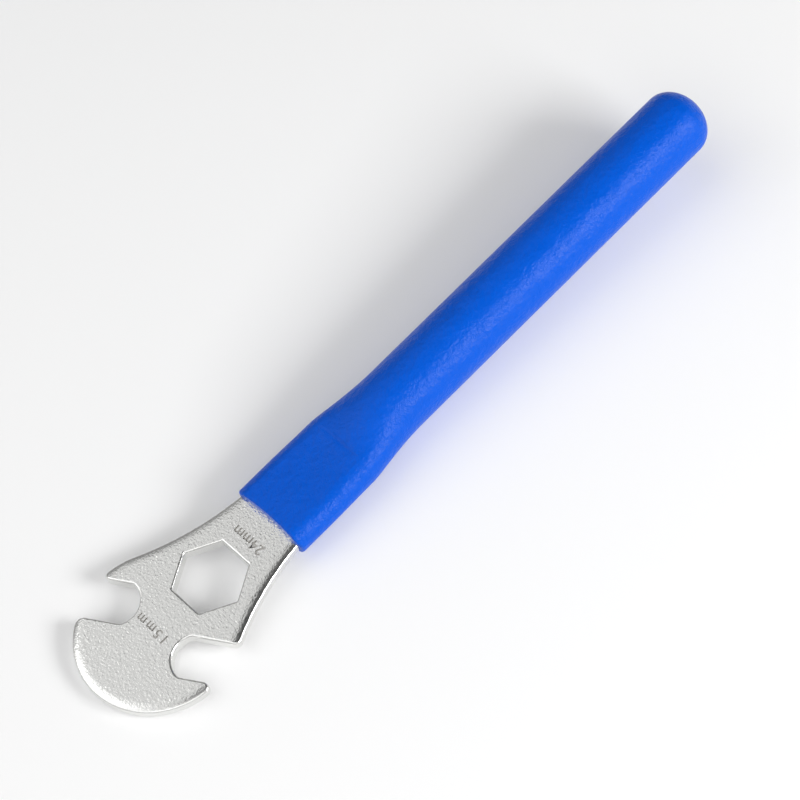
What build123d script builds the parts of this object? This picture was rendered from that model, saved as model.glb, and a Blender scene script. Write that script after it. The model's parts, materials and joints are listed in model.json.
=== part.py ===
"""Pedal wrench: a plated head with two open jaws and a hexagon hole, on a tube handle in a dipped sleeve.

Millimetres. The wrench is drawn with its handle along X, from the head's tip at X = 0, and the plate in
the XY plane. At the end it is laid down as it rests: on the head's tip and on the start of the round bar.
"""
from build123d import *
from math import atan2, cos, degrees, pi, sin, sqrt
import os

os.makedirs("parts", exist_ok=True)

# Overall, of which the bare head takes 85 and the sleeve 220
overall_length = 305.0

# Head plate: a disc that sweeps in to the handle
plate_thickness = 5.2
head_radius = 30.5
neck_length = 24.0
neck_angle = 62.8
shoulder_corner_radius = 1.5
rim_width = 4.0
rim_drop = 1.0
rim_overrun = 2.0
edge_rounding = 1.0

# Jaws: two openings back to back, each with one wall on the same line through the disc's centre
jaw_size = 15.0
jaw_clearance = 0.15
jaw_angle = 120.0
front_base_depth = 9.2
rear_base_depth = 8.4
base_crown = 4.4
base_corner_radius = 2.2
front_horn_radius = 3.4
front_beak_radius = 1.9
rear_beak_radius = 2.4
rear_horn_radius = 2.2

# Hexagon hole, in the neck behind the disc's centre
hex_size = 24.0
hex_clearance = 0.1
hex_offset = 26.3
hex_corner_radius = 0.5

# Tang, the plate's tail inside the tube
tang_length = 32.0
tang_rounding = 1.4
tang_clearance = 0.1

# Handle tube
tube_diameter = 22.0
tube_wall = 1.75
pressed_length = 16.0
throat_length = 19.0
throat_opening = 7.0
swell_length = 28.0
swell_steps = 4

# Dipped sleeve
sleeve_wall = 2.0
sleeve_dome = 10.4
mouth_rounding = 0.9

# Places along the handle
hex_center_x = head_radius + hex_offset
collar_x = 2 * head_radius + neck_length
shoulder_x = collar_x + sleeve_wall
tang_end_x = shoulder_x + tang_length
pressed_end_x = shoulder_x + pressed_length
throat_x = pressed_end_x + throat_length
round_x = throat_x + swell_length
dome_x = overall_length - sleeve_dome

# Layers of the bar, as distances outside the middle of the tube's wall
middle_radius = (tube_diameter - tube_wall) / 2
tube_inside = -tube_wall / 2
tube_outside = tube_wall / 2
sleeve_outside = tube_outside + sleeve_wall


def broad_side(opening):
    """Length of a broad side where the tube is open by this much: its wall is bent and never stretched."""
    return pi * (middle_radius - (opening + tube_wall) / 2)


tang_room = plate_thickness + tang_clearance
pressed_side = broad_side(tang_room)
throat_side = broad_side(throat_opening)
round_bow = throat_side / 2 / middle_radius
tang_width = pressed_side + tang_rounding
shoulder_half_width = pressed_side / 2 + tang_room / 2 + tube_wall
jaw_gap = jaw_size + jaw_clearance


def bar_section(x, side_length, bow, layer):
    """Section of the bar at x: two broad sides, each bowed through half-angle bow, and two tight ends."""
    end_radius = (pi * middle_radius - side_length) / (pi - 2 * bow) + layer
    if bow == 0:
        corner_y = side_length / 2
        corner_z = end_radius
        end_y = corner_y + end_radius
        side = Line((corner_y, corner_z), (-corner_y, corner_z))
    else:
        side_radius = side_length / 2 / bow + layer
        offset = side_radius - end_radius
        corner_y = side_radius * sin(bow)
        corner_z = end_radius * cos(bow)
        end_y = offset * sin(bow) + end_radius
        crown_z = side_radius - offset * cos(bow)
        side = ThreePointArc((corner_y, corner_z), (0, crown_z), (-corner_y, corner_z))
    end = ThreePointArc((-corner_y, corner_z), (-end_y, 0), (-corner_y, -corner_z))
    half = [side, end]
    loop = half + [edge.rotate(Axis.Z, 180) for edge in half]
    return Plane.YZ.offset(x) * make_face(loop)


def bar(layer, start_x, dome_length=0):
    """The bar at one layer: pressed flat at the front, opening a little, then swelling to a round tube.

    Its far end is an elliptical dome, or cut square where the dome has no length.
    """
    start = bar_section(start_x, pressed_side, 0, layer)
    pressed = extrude(start, pressed_end_x - start_x, dir=(1, 0, 0))
    pressed_end = bar_section(pressed_end_x, pressed_side, 0, layer)
    throat = bar_section(throat_x, throat_side, 0, layer)
    swell = [throat]
    for step in range(1, swell_steps + 1):
        share = step / swell_steps
        bow = round_bow * (1 - (1 - share) ** 2)
        swell.append(bar_section(throat_x + share * swell_length, throat_side, bow, layer))

    radius = middle_radius + layer
    outline = Polyline((dome_x, radius), (round_x, radius), (round_x, 0), (dome_x + dome_length, 0))
    if dome_length > 0:
        far_end = EllipticalCenterArc((dome_x, 0), dome_length, radius, 0, arc_size=90)
    else:
        far_end = Line((dome_x, 0), (dome_x, radius))
    round_bar = revolve(make_face([outline, far_end]), Axis.X)
    return pressed + loft([pressed_end, throat], ruled=True) + loft(swell) + round_bar


def neck_sweep():
    """The neck's arc: the point where it leaves the disc, the outward direction there, and its radius.

    It touches the disc at the neck's angle, and its radius is the one that then meets the shoulder.
    """
    center = Vector(head_radius, 0)
    reach = Vector(shoulder_x, shoulder_half_width) - center
    outward = Vector(1, 0).rotate(Axis.Z, neck_angle)
    across = reach.dot(outward)
    radius = (reach.length**2 - 2 * head_radius * across + head_radius**2) / (across - head_radius) / 2
    return center + outward * head_radius, outward, radius


def blank():
    """Outline of the head before its openings: a disc, and arcs that leave it smoothly for the shoulder."""
    start, outward, radius = neck_sweep()
    shoulder = Vector(shoulder_x, shoulder_half_width)
    center = start + outward * radius
    middle = center + ((start + shoulder) / 2 - center).normalized() * radius
    upper = ThreePointArc(start, middle, shoulder)
    lower = upper.mirror(Plane.XZ)
    ends = [Line(upper @ 0, lower @ 0), Line(upper @ 1, lower @ 1)]
    neck = make_face([upper, lower] + ends)
    neck = fillet(neck.vertices().group_by(Axis.X)[-1], shoulder_corner_radius)
    return Pos(head_radius, 0) * Circle(head_radius) + neck


def rim_section():
    """Section of the plate from its rim, at X = 0, inwards: both faces fall to the rim in an arc."""
    top = plate_thickness / 2
    fall_radius = (rim_width**2 + rim_drop**2) / (2 * rim_drop)
    profile = []
    for x in (rim_width, (rim_width - rim_overrun) / 2, -rim_overrun):
        profile.append((x, top - fall_radius + sqrt(fall_radius**2 - (rim_width - x) ** 2)))
    fall = ThreePointArc(*profile)
    flat = Line((head_radius, top), (rim_width, top))
    upper = [flat, fall]
    lower = [edge.mirror(Plane.XZ) for edge in upper]
    ends = [Line(flat @ 0, lower[0] @ 0), Line(fall @ 1, lower[1] @ 1)]
    return make_face(upper + lower + ends)


def forged_form():
    """The forging that the outline is cut from: its faces fall away softly along the disc and the neck."""
    section = rim_section()
    disc = revolve(Plane.XZ * section, Axis((head_radius, 0, 0), (0, 0, 1)))
    start, outward, radius = neck_sweep()
    across_rim = Plane(start, x_dir=-outward, z_dir=Vector(0, 0, 1).cross(outward))
    side = revolve(across_rim * section, Axis(start + outward * radius, (0, 0, 1)), revolution_arc=90)
    side = split(side, Plane.XZ, keep=Keep.BOTTOM)
    return disc + side + side.mirror(Plane.XZ)


def jaw(base_depth):
    """A jaw's opening, drawn from the disc's centre: one wall on the Y axis, and a rounded base."""
    wall_start = base_depth + base_crown
    wall_end = 2 * head_radius
    base = ThreePointArc((0, wall_start), (jaw_gap / 2, base_depth), (jaw_gap, wall_start))
    walls = Polyline((jaw_gap, wall_start), (jaw_gap, wall_end), (0, wall_end), (0, wall_start))
    opening = make_face([base, walls])
    base_corners = opening.vertices().group_by(Axis.Y)[0]
    return fillet(base_corners, base_corner_radius)


def rounded_tip(outline, turn, tip_x, radius):
    """Round the outline where a jaw's wall, drawn at tip_x, runs out through the disc's edge."""
    tip = turn * Pos(tip_x, sqrt(head_radius**2 - tip_x**2))
    return fillet(outline.vertices().sort_by_distance(tip.position)[0], radius)


def wrench_head():
    """Plate with its jaws, hexagon hole and tang."""
    front = Pos(head_radius, 0) * Rot(0, 0, jaw_angle - 90)
    rear = Pos(head_radius, 0) * Rot(0, 0, jaw_angle + 90)
    outline = blank()
    outline -= front * jaw(front_base_depth)
    outline -= rear * jaw(rear_base_depth)
    outline = rounded_tip(outline, front, 0, front_horn_radius)
    outline = rounded_tip(outline, front, jaw_gap, front_beak_radius)
    outline = rounded_tip(outline, rear, 0, rear_beak_radius)
    outline = rounded_tip(outline, rear, jaw_gap, rear_horn_radius)
    hexagon = RegularPolygon((hex_size + hex_clearance) / 2, 6, major_radius=False, rotation=30)
    outline -= Pos(hex_center_x, 0) * fillet(hexagon.vertices(), hex_corner_radius)
    plate = extrude(outline, plate_thickness / 2, both=True) & forged_form()
    flat_walls = plate.faces().filter_by(GeomType.PLANE).filter_by(Axis.Z, reverse=True)
    walls = flat_walls + plate.faces().filter_by(GeomType.CYLINDER)
    plate = fillet(walls.edges().filter_by(Axis.Z, reverse=True), edge_rounding)

    root_x = shoulder_x - tang_rounding
    tang = Box(tang_end_x - root_x, tang_width, plate_thickness)
    tang = fillet(tang.edges().filter_by(Axis.X), tang_rounding)
    return plate + Pos((root_x + tang_end_x) / 2, 0) * tang


def handle_tube():
    """Steel tube, pressed flat on the tang and open at both ends."""
    return bar(tube_outside, shoulder_x) - bar(tube_inside, shoulder_x)


def grip_sleeve(head):
    """Sleeve over the whole tube: its front wall closes on the plate, and its far end is a hollow dome."""
    outside = bar(sleeve_outside, collar_x, sleeve_dome)
    outside = fillet(outside.edges().group_by(Axis.X)[0], mouth_rounding)
    inside = bar(tube_outside, shoulder_x, sleeve_dome - sleeve_wall)
    return outside - inside - head


head = wrench_head()
tube = handle_tube()
sleeve = grip_sleeve(head)
pieces = {"wrench_head": head, "handle_tube": tube, "grip_sleeve": sleeve}


def low_point(shape, tip):
    """Height of the shape's lowest point when its far end is raised by an angle in degrees."""
    return (Rot(0, -tip, 0) * shape).bounding_box().min.Z


# The weight lies ahead of the round bar, so the wrench tips forward until the head's tip is down too
settle_rounds = 5
tip_angle = 0.0
for settle_round in range(settle_rounds):
    gap_under_head = low_point(head, tip_angle) - low_point(sleeve, tip_angle)
    tip_angle += degrees(atan2(gap_under_head, round_x))

box = (Rot(0, -tip_angle, 0) * Compound([head, tube, sleeve])).bounding_box()
laid_down = Pos(-box.center().X, -box.center().Y, -box.min.Z) * Rot(0, -tip_angle, 0)
for name, piece in pieces.items():
    export_step(laid_down * piece, f"parts/{name}.step")
print(f"tipped forward by {tip_angle:.3f} degrees, head's tip now at {laid_down.position}")
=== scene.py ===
# %% [markdown]
# Pedal wrench, dressed for its photograph.
# The wrench is three real pieces: a forged and plated steel head, a steel tube pressed on to the head's
# tail, and a blue vinyl sleeve that the handle was dipped in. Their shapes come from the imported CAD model,
# which is loaded here and never changed. This script gives the pieces their finishes, adds what is too fine
# for the CAD, and sets up a studio like the photograph's.
# Blender works in metres, so the sizes of the wrench are written in millimetres and multiplied by MM.
# The sizes of the studio are plain metres.

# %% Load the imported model
import json
from math import cos, pi, radians, sin

import bmesh
import bpy
from mathutils import Matrix, Vector

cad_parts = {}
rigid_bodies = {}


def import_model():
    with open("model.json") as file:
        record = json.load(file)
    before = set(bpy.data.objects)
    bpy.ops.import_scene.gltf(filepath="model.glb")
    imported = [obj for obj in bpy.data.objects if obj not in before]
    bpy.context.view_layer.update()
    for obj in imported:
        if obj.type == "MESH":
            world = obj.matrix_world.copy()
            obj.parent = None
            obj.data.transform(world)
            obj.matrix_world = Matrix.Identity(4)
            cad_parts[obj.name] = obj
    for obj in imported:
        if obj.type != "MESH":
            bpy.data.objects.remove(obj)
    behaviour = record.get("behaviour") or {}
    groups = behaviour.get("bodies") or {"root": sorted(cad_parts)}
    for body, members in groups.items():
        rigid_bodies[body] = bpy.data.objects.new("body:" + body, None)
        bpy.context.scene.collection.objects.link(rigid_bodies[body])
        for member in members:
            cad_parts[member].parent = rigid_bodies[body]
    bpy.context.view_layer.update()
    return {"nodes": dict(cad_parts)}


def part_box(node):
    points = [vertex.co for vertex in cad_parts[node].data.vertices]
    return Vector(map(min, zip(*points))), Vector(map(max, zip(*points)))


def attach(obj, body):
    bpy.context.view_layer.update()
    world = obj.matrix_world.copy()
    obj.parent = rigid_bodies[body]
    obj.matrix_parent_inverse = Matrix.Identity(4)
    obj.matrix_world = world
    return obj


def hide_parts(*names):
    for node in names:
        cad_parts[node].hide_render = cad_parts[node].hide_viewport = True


MM = 0.001

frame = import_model()
bpy.context.scene.view_settings.view_transform = "Standard"
scene_objects = bpy.context.scene.collection.objects
for node in sorted(frame["nodes"]):
    low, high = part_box(node)
    print(node, "is", " x ".join(f"{(b - a) / MM:.1f}" for a, b in zip(low, high)), "mm")

# %% [markdown]
# The camera. It could be placed by a location and three turns, but such numbers say little to a reader.
# Here the viewpoint is given as a photographer would say it: what the camera is aimed at, how far round the
# wrench it stands, how high, how far away, and how much it leans. A long lens keeps the wrench nearly free
# of perspective, as in the photograph, where its far end looks as wide as its near end.

# %% Place the camera
camera_aim = Vector((-2.9, -0.9, 12.0)) * MM
camera_azimuth = -121.02
camera_elevation = 58.35
camera_distance = 1043.1 * MM
camera_lean = radians(15.44)
camera_lens = 132.2


def way_to(azimuth, elevation):
    """The way to something that stands at these angles, in degrees, as a vector of length 1."""
    across = cos(radians(elevation))
    return Vector((across * cos(radians(azimuth)), across * sin(radians(azimuth)), sin(radians(elevation))))


def looking_back(aim, way, distance):
    """The place of a camera or a lamp that stands this far out from its aim and looks back at it."""
    return Matrix.Translation(aim + way * distance) @ way.to_track_quat("Z", "Y").to_matrix().to_4x4()


camera = bpy.data.objects.new("camera", bpy.data.cameras.new("camera"))
scene_objects.link(camera)
camera.data.lens = camera_lens
upright = looking_back(camera_aim, way_to(camera_azimuth, camera_elevation), camera_distance)
camera.matrix_world = upright @ Matrix.Rotation(-camera_lean, 4, "Z")
bpy.context.scene.camera = camera
print("the camera stands at", [round(value, 3) for value in camera.matrix_world.translation])

# %% [markdown]
# Colours and nodes. A screen colour such as #0055CB is stored with a curve (sRGB), while a renderer adds
# and multiplies light, so it needs the plain amount of light (linear). One function does that change.
# A second one adds a node with its settings and its links in one line, so that a material or a tree of
# geometry nodes reads from top to bottom like a recipe. A third starts a material. Its sockets that are
# the same all over the piece are set in that line, and what varies is linked afterwards.

# %% Colour and node helpers


def linear(hex_colour):
    """The linear RGBA of an sRGB hex colour."""
    parts = [int(hex_colour[i:i + 2], 16) / 255 for i in (1, 3, 5)]
    return [p / 12.92 if p <= 0.04045 else ((p + 0.055) / 1.055) ** 2.4 for p in parts] + [1.0]


def add_node(tree, kind, settings=None, **sockets):
    """Add a node. Settings are its own properties; each socket takes a value, an output, or another node.

    A node stands for its first output. A name has _ for each space in the socket's, and _0 is socket 0.
    """
    node = tree.nodes.new(kind)
    for name, value in (settings or {}).items():
        setattr(node, name, value)
    for name, value in sockets.items():
        socket = node.inputs[int(name[1:])] if name[1:].isdigit() else node.inputs[name.replace("_", " ")]
        if isinstance(value, bpy.types.Node):
            value = value.outputs[0]
        if isinstance(value, bpy.types.NodeSocket):
            tree.links.new(value, socket)
        else:
            socket.default_value = value
    return node


def new_material(name, **finish):
    """A material with its output and its Principled shader, whose own sockets take the finish."""
    material = bpy.data.materials.new(name)
    material.use_nodes = True
    tree = material.node_tree
    tree.nodes.clear()
    shader = add_node(tree, "ShaderNodeBsdfPrincipled", **finish)
    add_node(tree, "ShaderNodeOutputMaterial", Surface=shader)
    return material, tree, shader


print("#0055CB is", [round(part, 3) for part in linear("#0055CB")])

# %% [markdown]
# The floor is a sweep of matt white paper. More light on it would turn it white, but would bleach the
# wrench too. So the paper shines a little by itself, and only to the camera, in reflections and through
# glass (Light Path): it looks white, adds nothing to the light on the wrench, and keeps its shadow.

# %% Floor
floor_width = 6.0
paper_glow = 0.08
floor_material, tree, shader = new_material(
    "white_paper_sweep", Base_Color=linear("#F2F2F2"), Roughness=0.9, Specular_IOR_Level=0.1,
    Emission_Color=linear("#FFFFFF"))
path = tree.nodes.new("ShaderNodeLightPath").outputs
mirrored = add_node(tree, "ShaderNodeMath", {"operation": "MAXIMUM"},
                    _0=path["Is Camera Ray"], _1=path["Is Glossy Ray"])
seen = add_node(tree, "ShaderNodeMath", {"operation": "MAXIMUM"}, _0=mirrored, _1=path["Is Transmission Ray"])
glow = add_node(tree, "ShaderNodeMath", {"operation": "MULTIPLY"}, _0=seen, _1=paper_glow)
tree.links.new(glow.outputs[0], shader.inputs["Emission Strength"])

half = floor_width / 2
corners = [(-half, -half, 0), (half, -half, 0), (half, half, 0), (-half, half, 0)]
floor_mesh = bpy.data.meshes.new("floor")
floor_mesh.from_pydata(corners, [], [(0, 1, 2, 3)])
floor_mesh.materials.append(floor_material)
floor = bpy.data.objects.new("floor", floor_mesh)
scene_objects.link(floor)
print("floor:", floor_width, "m wide")

# %% [markdown]
# The tent. Product photographs of bright metal are taken in a white tent: plated metal has no look of its
# own and only shows what is around it, so white walls give it its white rims. The tent could be modelled,
# but the world's own light does the same and casts no shadow. The tent is open on top, and that darker
# part gives the rims that face it their dark line. Its back wall is half as bright as its front.

# %% White tent, open on top
# The height of a direction is the sine of its elevation: 0 at the horizon and 1 straight up.
wall_brightness, opening_brightness = 0.56, 0.05
wall_top, opening_edge = sin(radians(22)), sin(radians(50))
front_azimuth = radians(-135)
back_share = 0.5
back_ends, front_starts = -0.8, 0.2

world = bpy.data.worlds.new("white_tent")
world.use_nodes = True
tree = world.node_tree
direction = add_node(tree, "ShaderNodeTexCoord").outputs["Generated"]
height = add_node(tree, "ShaderNodeSeparateXYZ", Vector=direction).outputs["Z"]
tent = add_node(tree, "ShaderNodeMapRange", {"interpolation_type": "SMOOTHSTEP"}, Value=height,
                From_Min=wall_top, From_Max=opening_edge, To_Min=wall_brightness, To_Max=opening_brightness)
frontness = add_node(tree, "ShaderNodeVectorMath", {"operation": "DOT_PRODUCT"}, _0=direction,
                     _1=(cos(front_azimuth), sin(front_azimuth), 0)).outputs["Value"]
sides = add_node(tree, "ShaderNodeMapRange", {"interpolation_type": "SMOOTHSTEP"}, Value=frontness,
                 From_Min=back_ends, From_Max=front_starts, To_Min=back_share, To_Max=1.0)
cloth = add_node(tree, "ShaderNodeMath", {"operation": "MULTIPLY"}, _0=tent, _1=sides)
tree.links.new(cloth.outputs[0], tree.nodes["Background"].inputs["Strength"])
tree.nodes["Background"].inputs["Color"].default_value = linear("#FFFFFF")
bpy.context.scene.world = world
print("tent: front wall", wall_brightness, "and opening", opening_brightness, "times white")

# %% [markdown]
# The lamps. Four soft boxes shine in from outside the tent: a large one overhead for the flat faces, a
# wide one on the left for the round end of the head, one in front that fills the shadows, and a small
# bright one low on the right, which draws the long soft streak on the handle. A soft box is an area lamp,
# and the same watts on a larger box make a dimmer cloth. Bright metal shows the cloth itself, so a box is
# given by the brightness of its cloth, and the watts follow from that and from its size.

# %% Soft boxes


def soft_box(name, azimuth, elevation, distance, width, height, brightness):
    """A soft box that faces the wrench. Its brightness is that of its cloth, in times white."""
    lamp = bpy.data.lights.new(name, "AREA")
    lamp.shape = "RECTANGLE"
    lamp.size = width
    lamp.size_y = height
    lamp.energy = brightness * pi * width * height
    box = bpy.data.objects.new(name, lamp)
    box.matrix_world = looking_back(Vector((0, 0, 0)), way_to(azimuth, elevation), distance)
    scene_objects.link(box)
    print(name, "takes", round(lamp.energy, 1), "watts")


soft_box("overhead_soft_box", azimuth=112, elevation=63, distance=1.5, width=1.6, height=1.6, brightness=0.76)
soft_box("left_soft_box", azimuth=165, elevation=42, distance=1.3, width=1.9, height=0.75, brightness=1.15)
soft_box("front_soft_box", azimuth=-128, elevation=46, distance=1.7, width=1.2, height=1.3, brightness=1.1)
soft_box("right_soft_box", azimuth=-66, elevation=27, distance=1.4, width=0.7, height=0.44, brightness=16.5)

# %% [markdown]
# Geometry Nodes. A tree of geometry nodes is a recipe with named inputs, and a modifier runs it on an
# object. The three trees below could be loops over points in Python, but a tree can be opened, read and
# changed in Blender. They start and end alike, so two functions do that. Each ends in Realize Instances
# and Set Material, because the exported model drops instances. The result is then made a plain mesh.

# %% Helpers for trees and pieces


def new_tree(name, inputs):
    """A tree with named inputs: the tree, what to link from, and each input's identifier."""
    tree = bpy.data.node_groups.new(name, "GeometryNodeTree")
    identifiers = {}
    for label, kind in inputs.items():
        socket = tree.interface.new_socket(label, in_out="INPUT", socket_type="NodeSocket" + kind)
        identifiers[label] = socket.identifier
    tree.interface.new_socket("Geometry", in_out="OUTPUT", socket_type="NodeSocketGeometry")
    return tree, tree.nodes.new("NodeGroupInput").outputs, identifiers


def end_tree(tree, geometry, material):
    """End a tree: real geometry, with its material, goes out."""
    whole = add_node(tree, "GeometryNodeRealizeInstances", Geometry=geometry)
    dressed = add_node(tree, "GeometryNodeSetMaterial", Geometry=whole, Material=material)
    add_node(tree, "NodeGroupOutput", Geometry=dressed)
    print(tree.name, "has", len(tree.nodes), "nodes")


def run_tree(piece, tree, identifiers, values):
    """Put a tree on a piece as a modifier. Its inputs are set by identifier, before it is evaluated."""
    modifier = piece.modifiers.new(tree.name, "NODES")
    modifier.node_group = tree
    for label, value in values.items():
        modifier[identifiers[label]] = value


def made_real(carrier, name):
    """A plain mesh object of a carrier with its modifiers, which is then deleted."""
    bpy.context.view_layer.update()
    mesh = bpy.data.meshes.new_from_object(carrier.evaluated_get(bpy.context.evaluated_depsgraph_get()))
    mesh.name = name
    piece = bpy.data.objects.new(name, mesh)
    bpy.data.objects.remove(carrier)
    scene_objects.link(piece)
    return piece


# %% [markdown]
# The head is one forging. Its shape is already right in the CAD model, apart from the two sizes that are
# stamped in its face: 15 mm between the jaws and 24 mm behind the hexagon. They could be drawn in the
# material, but a stamp pushes metal down, and its walls catch the light. So blocks of digits are made
# here, and cut into a copy of the head further on. In the tree, String to Curves writes the digits, Fill
# Curve makes them faces, Extrude Mesh gives them a depth, and each point then moves outwards a little,
# because a stamp's strokes are bolder than a font's.

# %% The plate's own frame
# The wrench rests on its head's tip and on the bar, so the plate slopes up towards the handle. Sizes in
# this frame are read as on the drawing: X runs along the handle from the head's tip, and Z is square to
# the plate, from the middle of its thickness.
plate_slope = radians(4.152)
plate_tip = Vector((-152.085, -0.037, 2.326)) * MM
plate_thickness = 5.2 * MM
head_middle = Vector((30.5, 0, 0)) * MM
plate_frame = Matrix.Translation(plate_tip) @ Matrix.Rotation(-plate_slope, 4, "Y")
print("middle of the head in the room:", [round(value / MM, 1) for value in plate_frame @ head_middle])

# %% A tree that makes a stamp
# A digit of Blender's own font is 0.729 times as high as the size that the text is set in.
font_share = 0.729
weld_distance = 0.001 * MM
stamp_tree, given, stamp_inputs = new_tree("size_stamp", {
    "Text": "String", "Digit height": "Float", "Depth": "Float", "Spacing": "Float", "Boldness": "Float",
    "Metal": "Material"})
size = add_node(stamp_tree, "ShaderNodeMath", {"operation": "DIVIDE"}, _0=given["Digit height"], _1=font_share)
letters = add_node(stamp_tree, "GeometryNodeStringToCurves", String=given["Text"], Size=size,
                   Character_Spacing=given["Spacing"])
outlines = add_node(stamp_tree, "GeometryNodeRealizeInstances", Geometry=letters)
faces = add_node(stamp_tree, "GeometryNodeFillCurve", {"mode": "NGONS"}, Curve=outlines)
deep = add_node(stamp_tree, "GeometryNodeExtrudeMesh", Mesh=faces, Offset_Scale=given["Depth"],
                Individual=False)
lid = add_node(stamp_tree, "GeometryNodeFlipFaces", Mesh=faces)
both = add_node(stamp_tree, "GeometryNodeJoinGeometry", Geometry=deep)
stamp_tree.links.new(lid.outputs["Mesh"], both.inputs["Geometry"])
closed = add_node(stamp_tree, "GeometryNodeMergeByDistance", Geometry=both, Distance=weld_distance)
outward = add_node(stamp_tree, "GeometryNodeInputNormal")
swell = add_node(stamp_tree, "ShaderNodeVectorMath", {"operation": "SCALE"}, Vector=outward,
                 Scale=given["Boldness"])
bold = add_node(stamp_tree, "GeometryNodeSetPosition", Geometry=closed, Offset=swell)
end_tree(stamp_tree, bold, given["Metal"])

# %% [markdown]
# The finish of the head. The steel was forged, shot-blasted to a fine even grain, tumbled, and then nickel
# plated bright. To the eye that is a soft silver with a sparkle, because each tiny dimple tilts the mirror a
# little. A rougher shader would give the softness but not the sparkle, so the grain is a bump. Tumbling
# wears the grain off what stands out, and so the rims and the lips of the openings are smoother and whiter.
# A mask does that: it compares each point's direction (Texture Coordinate's Normal) with the plate's own.
# In the stamps the nickel is rougher, and its colour is darker as painted shade, for the shade that falls in
# their recesses.

# %% Nickel plate over shot-blasted steel
# The real dimples are about 0.3 mm wide, less than a pixel, so they are drawn three times as wide and deep.
grain_width = 0.9 * MM
grain_depth = 0.24 * MM
all_grain_turn, least_grain_turn = radians(5), radians(18)
least_grain = 0.25
plate_normal = plate_frame.to_3x3() @ Vector((0, 0, 1))

plate_material, tree, shader = new_material(
    "nickel_plate_over_shot_blast", Metallic=1.0, Base_Color=linear("#E8E8E6"), Roughness=0.24)
place = add_node(tree, "ShaderNodeTexCoord").outputs
grain = add_node(tree, "ShaderNodeTexNoise", Vector=place["Object"], Scale=1 / grain_width, Detail=2.0,
                 Roughness=0.6)
along_normal = add_node(tree, "ShaderNodeVectorMath", {"operation": "DOT_PRODUCT"}, _0=place["Normal"],
                        _1=plate_normal).outputs["Value"]
level = add_node(tree, "ShaderNodeMath", {"operation": "ABSOLUTE"}, _0=along_normal)
grain_left = add_node(tree, "ShaderNodeMapRange", Value=level, From_Min=cos(least_grain_turn),
                      From_Max=cos(all_grain_turn), To_Min=least_grain, To_Max=1.0)
bump = add_node(tree, "ShaderNodeBump", Height=grain.outputs["Fac"], Strength=grain_left,
                Distance=grain_depth)
tree.links.new(bump.outputs["Normal"], shader.inputs["Normal"])
# The stamps' darker base colour is painted shade: it stands in for the shade in their recesses.
stamp_shade_material, tree, shader = new_material(
    "nickel_with_painted_shade_in_the_stamps", Metallic=1.0, Base_Color=linear("#C0BEBA"), Roughness=0.42)
print("head:", plate_material.name, "and", stamp_shade_material.name)

# %% Two blocks of digits
stamp_depth = 0.3 * MM
stroke_swell = 0.13 * MM


def stamp(text, digit_height, spacing, start_x, start_y):
    """A block of digits that stands in the plate by the stamps' depth, read along the plate's width."""
    carrier = bpy.data.objects.new("stamp_carrier", bpy.data.meshes.new("stamp_carrier"))
    scene_objects.link(carrier)
    run_tree(carrier, stamp_tree, stamp_inputs, {
        "Text": text, "Digit height": digit_height, "Depth": 2 * stamp_depth, "Spacing": spacing,
        "Boldness": stroke_swell, "Metal": stamp_shade_material})
    block = made_real(carrier, "stamp_" + text)
    at = Vector((start_x, start_y, plate_thickness / 2 - stamp_depth))
    block.data.transform(plate_frame @ Matrix.Translation(at) @ Matrix.Rotation(radians(90), 4, "Z"))
    length = max(v.co.y for v in block.data.vertices) - min(v.co.y for v in block.data.vertices)
    print(text, "is", round(length / MM, 2), "mm long and has", len(block.data.vertices), "points")
    return block


stamps = [
    stamp("15mm", digit_height=3.7 * MM, spacing=1.31, start_x=31.5 * MM, start_y=-6.2 * MM),
    stamp("24mm", digit_height=4.0 * MM, spacing=1.08, start_x=77.0 * MM, start_y=-7.6 * MM),
]

# %% [markdown]
# Cutting the stamps. A CAD mesh is loose triangles, so a copy of it is merged first. Its flat faces are
# then joined into large ones (Limited Dissolve), because the cut leaves fewer slivers in them. The cut is a
# Boolean, and the digits' own material stays on what they cut. Shading is smooth, with hard edges kept
# sharp, and Weighted Normal lets the large flat faces stay flat up to their rounded edges.

# %% Helpers for a copy of a CAD piece
touching = 0.0005 * MM
hard_edge = radians(35)


def copy_of(node, name):
    """A copy of a CAD node's object with its own mesh. The CAD's object is left alone."""
    piece = frame["nodes"][node].copy()
    piece.data = piece.data.copy()
    piece.name = piece.data.name = name
    piece.parent = None
    scene_objects.link(piece)
    return piece


def merged(piece):
    """The piece's mesh, open for editing, with its loose triangles joined."""
    mesh = bmesh.new()
    mesh.from_mesh(piece.data)
    bmesh.ops.remove_doubles(mesh, verts=mesh.verts, dist=touching)
    print(piece.name, "has", len(mesh.verts), "points once merged")
    return mesh


def smoothly_shaded(piece, name):
    """The piece as a plain mesh, shaded smooth between its hard edges."""
    piece.data.shade_smooth()
    piece.data.set_sharp_from_angle(angle=hard_edge)
    weighted = piece.modifiers.new("flat_faces_stay_flat", "WEIGHTED_NORMAL")
    weighted.keep_sharp = True
    return made_real(piece, name)


# %% The head itself
flat_within = radians(0.1)
head = copy_of("wrench_head", "stamped_head")
mesh = merged(head)
bmesh.ops.dissolve_limit(mesh, angle_limit=flat_within, verts=mesh.verts, edges=mesh.edges)
mesh.to_mesh(head.data)
mesh.free()
head.data.materials.clear()
head.data.materials.append(plate_material)
for block in stamps:
    cut = head.modifiers.new("stamp", "BOOLEAN")
    cut.operation = "DIFFERENCE"
    cut.material_mode = "TRANSFER"
    # A block's bolder strokes may cross themselves, and without this the whole head vanished in the cut.
    cut.use_self = True
    cut.object = block
head = smoothly_shaded(made_real(head, "forged_head"), "plated_head")
for block in stamps:
    bpy.data.objects.remove(block)
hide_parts("wrench_head")
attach(head, "root")
print("head:", len(head.data.vertices), "points,", len(head.data.polygons), "faces,",
      [material.name for material in head.data.materials])

# %% [markdown]
# The tube. A plain tube is drawn through a die, which leaves it a satin grey, darker and duller than
# plate. The sleeve hides all of it, so the CAD's own object stays and only gets its material.

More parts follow.
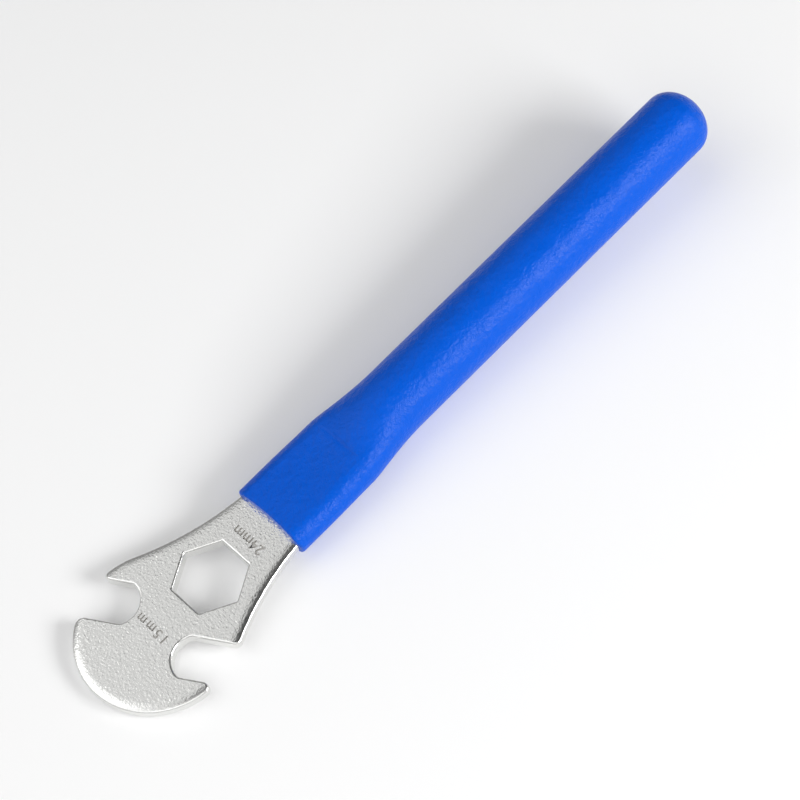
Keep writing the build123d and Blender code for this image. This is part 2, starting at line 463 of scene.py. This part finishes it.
# %% Drawn steel tube
tube_material, tree, shader = new_material(
    "drawn_steel", Metallic=1.0, Base_Color=linear("#A9A8A6"), Roughness=0.38)
for slot in frame["nodes"]["handle_tube"].material_slots:
    slot.material = tube_material
print("tube:", tube_material.name)

# %% [markdown]
# The finish of the sleeve. The handle is dipped in liquid vinyl, which drains, cures in an oven and becomes
# a soft skin. To the eye that is a deep even colour under a satin gloss, and a long reflection that is
# never quite straight. A lower gloss alone would leave the reflection straight, so two bumps bend it: small
# ripples, where the skin set, and long waves, where the liquid sagged. Vinyl's index of refraction is about
# 1.5. The Specular IOR Level is matched to the photograph: at its usual 0.5 the blue would be washed out.

# %% Dipped vinyl
# Both widths are real ones. The real depths are hundredths of a millimetre, drawn deeper so that they show.
ripple_width, ripple_depth = 2.2 * MM, 0.55 * MM
wave_width, wave_depth = 10.0 * MM, 0.7 * MM
vinyl_material, tree, shader = new_material(
    "dipped_vinyl", Base_Color=linear("#0055CB"), Roughness=0.3, IOR=1.5, Specular_IOR_Level=0.13)
place = add_node(tree, "ShaderNodeTexCoord").outputs["Object"]
ripples = add_node(tree, "ShaderNodeTexNoise", Vector=place, Scale=1 / ripple_width, Detail=3.0, Roughness=0.7)
rippled = add_node(tree, "ShaderNodeBump", Height=ripples.outputs["Fac"], Strength=1.0, Distance=ripple_depth)
waves = add_node(tree, "ShaderNodeTexNoise", Vector=place, Scale=1 / wave_width, Detail=1.0, Roughness=0.5)
bump = add_node(tree, "ShaderNodeBump", Height=waves.outputs["Fac"], Strength=1.0, Distance=wave_depth,
                Normal=rippled)
tree.links.new(bump.outputs["Normal"], shader.inputs["Normal"])
print("sleeve:", vinyl_material.name)

# %% [markdown]
# The throat of the sleeve. Where the tube begins to swell from its pressed end to its full roundness, the
# metal has a fold across it. The liquid vinyl gathers in that hollow and cures as a soft curve. Smoothing
# the whole mesh would round the fold, but also everything near it. So a tree lifts each point of the outer
# skin near the fold, most at the fold itself, by the amount that turns the sharp bend into a parabola. A
# parabola that replaces a bend of slope t over a reach r on both sides stands t * r / 4 above the bend, and
# falls off with the square of the distance. The bend is sharpest in the middle and milder at the edges.

# %% A tree that fills a fold: how near a point is, and how sharp the bend is there
fold_tree, given, fold_inputs = new_tree("filled_fold", {
    "Geometry": "Geometry", "Fold": "Float", "Reach": "Float", "Middle turn": "Float", "Edge turn": "Float",
    "Half width": "Float", "Skin": "Material"})
point = add_node(fold_tree, "ShaderNodeSeparateXYZ",
                 Vector=fold_tree.nodes.new("GeometryNodeInputPosition").outputs[0]).outputs
past = add_node(fold_tree, "ShaderNodeMath", {"operation": "SUBTRACT"}, _0=point["X"], _1=given["Fold"])
distance = add_node(fold_tree, "ShaderNodeMath", {"operation": "ABSOLUTE"}, _0=past)
share = add_node(fold_tree, "ShaderNodeMath", {"operation": "DIVIDE"}, _0=distance, _1=given["Reach"])
nearness = add_node(fold_tree, "ShaderNodeMath", {"operation": "SUBTRACT", "use_clamp": True},
                    _0=1.0, _1=share)
falloff = add_node(fold_tree, "ShaderNodeMath", {"operation": "POWER"}, _0=nearness, _1=2.0)
aside = add_node(fold_tree, "ShaderNodeMath", {"operation": "ABSOLUTE"}, _0=point["Y"])
side_share = add_node(fold_tree, "ShaderNodeMath", {"operation": "DIVIDE", "use_clamp": True},
                      _0=aside, _1=given["Half width"])
edge_share = add_node(fold_tree, "ShaderNodeMath", {"operation": "POWER"}, _0=side_share, _1=2.0)
turn = add_node(fold_tree, "ShaderNodeMix", {"data_type": "FLOAT"}, _0=edge_share, _2=given["Middle turn"],
                _3=given["Edge turn"])
print("so far", fold_tree.name, "has", len(fold_tree.nodes), "nodes")

# %% A tree that fills a fold: the lift
# The skin's inner face lies on the tube. It faces the bar's middle and stays where it is.
quarter = add_node(fold_tree, "ShaderNodeMath", {"operation": "DIVIDE"}, _0=given["Reach"], _1=4.0)
full_lift = add_node(fold_tree, "ShaderNodeMath", {"operation": "MULTIPLY"}, _0=turn, _1=quarter)
lift = add_node(fold_tree, "ShaderNodeMath", {"operation": "MULTIPLY"}, _0=full_lift, _1=falloff)
facing = add_node(fold_tree, "ShaderNodeSeparateXYZ",
                  Vector=fold_tree.nodes.new("GeometryNodeInputNormal").outputs[0]).outputs["Z"]
upwards = add_node(fold_tree, "ShaderNodeMath", {"operation": "MULTIPLY"}, _0=lift, _1=facing)
offset = add_node(fold_tree, "ShaderNodeCombineXYZ", Z=upwards)
away = add_node(fold_tree, "ShaderNodeMath", {"operation": "MULTIPLY"}, _0=point["Z"], _1=facing)
outer = add_node(fold_tree, "ShaderNodeMath", {"operation": "GREATER_THAN"}, _0=away, _1=0.0)
filled = add_node(fold_tree, "GeometryNodeSetPosition", Geometry=given["Geometry"], Selection=outer,
                  Offset=offset)
end_tree(fold_tree, filled, given["Skin"])

# %% [markdown]
# The mouth of the sleeve is where the liquid stood when the handle was dipped. It clung to the tube's two
# edges and hung back between them, so the mouth is a shallow curve, with soft corners. In the CAD it is
# straight. A second tree moves the lip along the handle: by a parabola across the plate, and a little more
# where the corners turn. The wall behind the lip keeps its back face, so the move fades from the lip's end
# to there. The move may not be longer than that stretch: a longer one would push the lip through the wall.

# %% A tree that curves the mouth: how far a point moves
mouth_tree, given, mouth_inputs = new_tree("curved_mouth", {
    "Geometry": "Geometry", "Lip end": "Float", "Wall end": "Float", "Bow": "Float", "Corner": "Float",
    "Corner width": "Float", "Mouth half width": "Float", "Skin": "Material"})
point = add_node(mouth_tree, "ShaderNodeSeparateXYZ",
                 Vector=mouth_tree.nodes.new("GeometryNodeInputPosition").outputs[0]).outputs
aside = add_node(mouth_tree, "ShaderNodeMath", {"operation": "ABSOLUTE"}, _0=point["Y"])
side_share = add_node(mouth_tree, "ShaderNodeMath", {"operation": "DIVIDE", "use_clamp": True},
                      _0=aside, _1=given["Mouth half width"])
side_fall = add_node(mouth_tree, "ShaderNodeMath", {"operation": "POWER"}, _0=side_share, _1=2.0)
hang = add_node(mouth_tree, "ShaderNodeMath", {"operation": "SUBTRACT"}, _0=1.0, _1=side_fall)
bow = add_node(mouth_tree, "ShaderNodeMath", {"operation": "MULTIPLY"}, _0=hang, _1=given["Bow"])
inset = add_node(mouth_tree, "ShaderNodeMath", {"operation": "SUBTRACT"},
                 _0=given["Mouth half width"], _1=aside)
inset_share = add_node(mouth_tree, "ShaderNodeMath", {"operation": "DIVIDE"},
                       _0=inset, _1=given["Corner width"])
corner_share = add_node(mouth_tree, "ShaderNodeMath", {"operation": "SUBTRACT", "use_clamp": True},
                        _0=1.0, _1=inset_share)
softness = add_node(mouth_tree, "ShaderNodeMath", {"operation": "POWER"}, _0=corner_share, _1=2.0)
corner = add_node(mouth_tree, "ShaderNodeMath", {"operation": "MULTIPLY"}, _0=softness, _1=given["Corner"])
shift = add_node(mouth_tree, "ShaderNodeMath", {"operation": "ADD"}, _0=bow, _1=corner)
print("so far", mouth_tree.name, "has", len(mouth_tree.nodes), "nodes")

# %% A tree that curves the mouth: the move, fading to the wall's back face
behind = add_node(mouth_tree, "ShaderNodeMath", {"operation": "SUBTRACT"}, _0=given["Wall end"], _1=point["X"])
stretch = add_node(mouth_tree, "ShaderNodeMath", {"operation": "SUBTRACT"},
                   _0=given["Wall end"], _1=given["Lip end"])
fade = add_node(mouth_tree, "ShaderNodeMath", {"operation": "DIVIDE", "use_clamp": True},
                _0=behind, _1=stretch)
faded = add_node(mouth_tree, "ShaderNodeMath", {"operation": "MULTIPLY"}, _0=shift, _1=fade)
offset = add_node(mouth_tree, "ShaderNodeCombineXYZ", X=faded)
curved = add_node(mouth_tree, "GeometryNodeSetPosition", Geometry=given["Geometry"], Offset=offset)
end_tree(mouth_tree, curved, given["Skin"])

# %% [markdown]
# The sleeve's mesh. A tree can only move points that are there, and the CAD's mesh has long thin triangles
# on flat and straight places. Subdividing all of it would make many points where none are needed. So a copy
# is cut only where the trees will bend it: lengthwise across the mouth's wall, and in rings round the fold.
# The copy is turned into the plate's own frame for this, and back into the room afterwards.

# %% Cut the sleeve's mesh where it will bend
lip_end_x = 85.9 * MM
wall_end_x = 87.0 * MM
mouth_cut_step = 1.5 * MM
mouth_cuts = 6
fold_x = 122.0 * MM
fold_reach = 9.0 * MM
ring_step = 0.75 * MM
on_plane = 0.001 * MM


def cut_through(mesh, faces, point, direction):
    """Cut these faces where they cross the plane through a point, square to a direction."""
    near = set(faces)
    edges = [edge for edge in mesh.edges if any(face in near for face in edge.link_faces)]
    points = [vertex for vertex in mesh.verts if any(face in near for face in vertex.link_faces)]
    bmesh.ops.bisect_plane(mesh, geom=points + edges + faces, dist=on_plane, plane_co=point,
                           plane_no=direction)


sleeve = copy_of("grip_sleeve", "ringed_sleeve")
sleeve.data.transform(plate_frame.inverted())
mesh = merged(sleeve)
for cut in range(-mouth_cuts, mouth_cuts + 1):
    wall = [face for face in mesh.faces if min(vertex.co.x for vertex in face.verts) < wall_end_x]
    cut_through(mesh, wall, (0, cut * mouth_cut_step, 0), (0, 1, 0))
for ring in range(round(2 * fold_reach / ring_step) + 1):
    cut_through(mesh, mesh.faces[:], (fold_x - fold_reach + ring * ring_step, 0, 0), (1, 0, 0))
print(sleeve.name, "has", len(mesh.verts), "points once cut")
mesh.to_mesh(sleeve.data)
mesh.free()

# %% Curve the mouth and fill the fold
mouth_bow = 1.05 * MM
corner_pull = 1.05 * MM
corner_width = 3.2 * MM
mouth_half_width = 16.75 * MM
middle_turn, edge_turn = 0.42, 0.13
fold_half_width = 9.0 * MM
run_tree(sleeve, mouth_tree, mouth_inputs, {
    "Lip end": lip_end_x, "Wall end": wall_end_x, "Bow": mouth_bow, "Corner": corner_pull,
    "Corner width": corner_width, "Mouth half width": mouth_half_width, "Skin": vinyl_material})
run_tree(sleeve, fold_tree, fold_inputs, {
    "Fold": fold_x, "Reach": fold_reach, "Middle turn": middle_turn, "Edge turn": edge_turn,
    "Half width": fold_half_width, "Skin": vinyl_material})
sleeve = made_real(sleeve, "filled_sleeve")
sleeve.data.transform(plate_frame)
sleeve = smoothly_shaded(sleeve, "dipped_sleeve")
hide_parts("grip_sleeve")
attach(sleeve, "root")
print("sleeve:", len(sleeve.data.vertices), "points,", len(sleeve.data.polygons), "faces")
